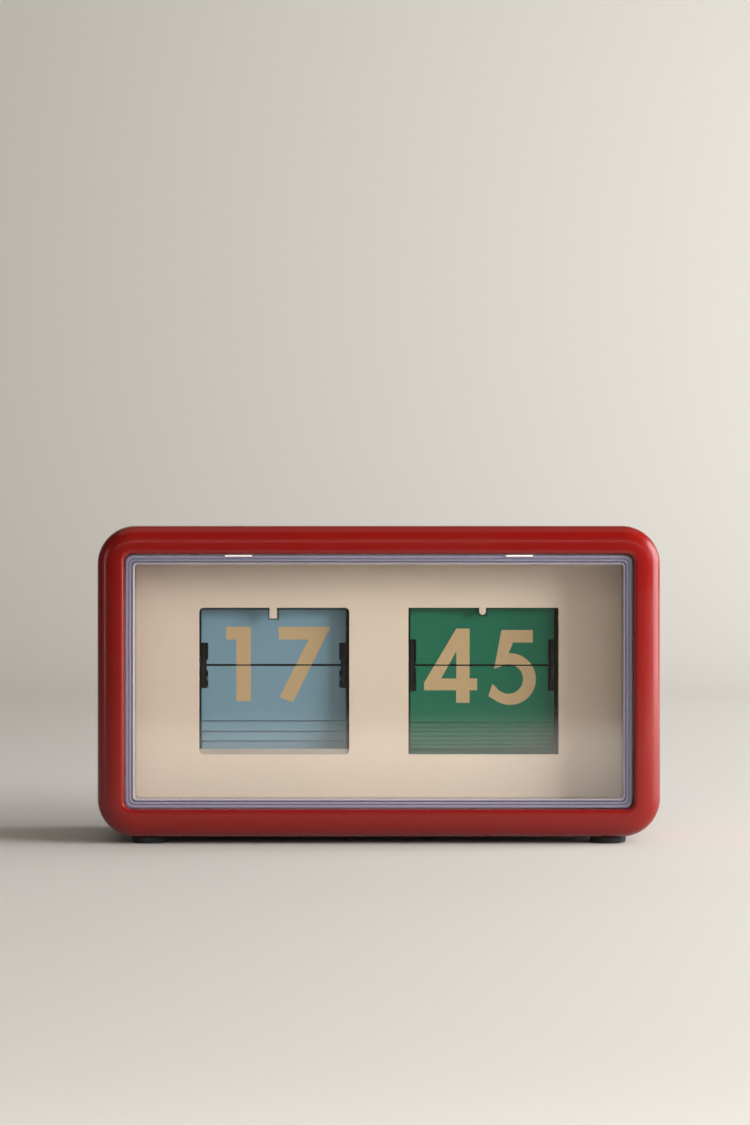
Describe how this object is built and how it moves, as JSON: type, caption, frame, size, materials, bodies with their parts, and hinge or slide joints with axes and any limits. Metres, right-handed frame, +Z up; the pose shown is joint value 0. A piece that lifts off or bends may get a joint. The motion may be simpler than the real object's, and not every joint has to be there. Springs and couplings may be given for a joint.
{
  "type": "flip number clock",
  "caption": "Flip clock in a rounded box case with a clear front, a cream face plate and two windows of hinged number leaves, one for hours and one for minutes.",
  "frame": {"origin": "bottom centre of the bounding box, on the surface that the clock stands on", "axes": "+X to the right of a person reading the clock, +Y from the front to the back, +Z up"},
  "size_m": [0.205, 0.085, 0.1159],
  "materials": {
    "case_plastic": "polished",
    "cover_plastic": "satin",
    "clear_lens": "clear",
    "cream_plate": "satin",
    "foot_rubber": "matte",
    "blue_leaf": "printed",
    "green_leaf": "printed",
    "black_plastic": "satin",
    "white_gear": "satin",
    "steel": "brushed",
    "chassis_steel": "satin",
    "contact_brass": "bright",
    "cell_wrap": "printed",
    "lead_red": "satin",
    "lead_black": "satin"
  },
  "bodies": {
    "clock": {"case_shell": "case_plastic", "rear_cover": "cover_plastic", "lens": "clear_lens", "face_plate": "cream_plate", "foot_front_left": "foot_rubber", "foot_front_right": "foot_rubber", "foot_rear_left": "foot_rubber", "foot_rear_right": "foot_rubber", "hour_leaf_next": "blue_leaf", "hour_leaf_hanging_1": "blue_leaf", "hour_leaf_hanging_2": "blue_leaf", "hour_leaf_hanging_3": "blue_leaf", "hour_leaf_hanging_4": "blue_leaf", "hour_leaf_stack": "blue_leaf", "minute_leaf_next": "green_leaf", "minute_leaf_hanging_1": "green_leaf", "minute_leaf_hanging_2": "green_leaf", "minute_leaf_hanging_3": "green_leaf", "minute_leaf_hanging_4": "green_leaf", "minute_leaf_hanging_5": "green_leaf", "minute_leaf_hanging_6": "green_leaf", "minute_leaf_hanging_7": "green_leaf", "minute_leaf_stack": "green_leaf", "movement_housing": "black_plastic", "battery_tray": "black_plastic", "drum_shaft": "steel", "shaft_clip": "steel", "idler_stud": "steel", "hour_detent_spring": "steel", "battery_spring": "steel", "door_pin": "steel", "chassis_screw_1": "steel", "chassis_screw_2": "steel", "face_plate_screw_1": "steel", "face_plate_screw_2": "steel", "face_plate_screw_3": "steel", "face_plate_screw_4": "steel", "rear_cover_screw_1": "steel", "rear_cover_screw_2": "steel", "rear_cover_screw_3": "steel", "rear_cover_screw_4": "steel", "chassis_frame": "chassis_steel", "centre_plate": "chassis_steel", "battery_contact": "contact_brass", "battery_cell": "cell_wrap", "lead_positive": "lead_red", "lead_negative": "lead_black"},
    "hour_display": {"hour_drum": "black_plastic", "hour_gear": "white_gear"},
    "minute_display": {"minute_drum": "black_plastic", "minute_pinion": "white_gear", "minute_wheel": "white_gear"},
    "idler": {"idler_gear": "white_gear"},
    "drive": {"drive_pinion": "white_gear"},
    "setting_wheel": {"set_wheel": "black_plastic", "set_pinion": "white_gear"},
    "hour_leaf": {"hour_leaf_falling": "blue_leaf"},
    "minute_leaf": {"minute_leaf_falling": "green_leaf"},
    "battery_door": {"battery_door": "cover_plastic"}
  },
  "joints": [
    {"name": "minute_drum_turn", "type": "hinge", "parent": "clock", "child": "minute_display", "pos_m": [0, 0.0006, 0.0644], "axis": [1, 0, 0], "continuous": true},
    {"name": "hour_drum_turn", "type": "hinge", "parent": "clock", "child": "hour_display", "pos_m": [0, 0.0006, 0.0644], "axis": [1, 0, 0], "continuous": true},
    {"name": "idler_turn", "type": "hinge", "parent": "clock", "child": "idler", "pos_m": [0, 0.0006, 0.0434], "axis": [1, 0, 0], "continuous": true},
    {"name": "drive_pinion_turn", "type": "hinge", "parent": "clock", "child": "drive", "pos_m": [0, -0.00941, 0.04526], "axis": [1, 0, 0], "continuous": true},
    {"name": "setting_wheel_turn", "type": "hinge", "parent": "clock", "child": "setting_wheel", "pos_m": [0, 0.0242, 0.06876], "axis": [1, 0, 0], "continuous": true},
    {"name": "hour_leaf_fall", "type": "hinge", "parent": "clock", "child": "hour_leaf", "pos_m": [-0.03905, -0.0146, 0.0644], "axis": [1, 0, 0], "range_deg": [0, 180]},
    {"name": "minute_leaf_fall", "type": "hinge", "parent": "clock", "child": "minute_leaf", "pos_m": [0.03835, -0.0164, 0.0644], "axis": [1, 0, 0], "range_deg": [0, 180]},
    {"name": "battery_door_swing", "type": "hinge", "parent": "clock", "child": "battery_door", "pos_m": [-0.084, 0.037, 0.033], "axis": [-1, 0, 0], "range_deg": [0, 95]}
  ],
  "couplings": [
    {"joint": "hour_drum_turn", "follows": "minute_drum_turn", "ratio": 0.041667},
    {"joint": "idler_turn", "follows": "minute_drum_turn", "ratio": -0.25},
    {"joint": "drive_pinion_turn", "follows": "minute_drum_turn", "ratio": -5},
    {"joint": "setting_wheel_turn", "follows": "minute_drum_turn", "ratio": -3}
  ]
}
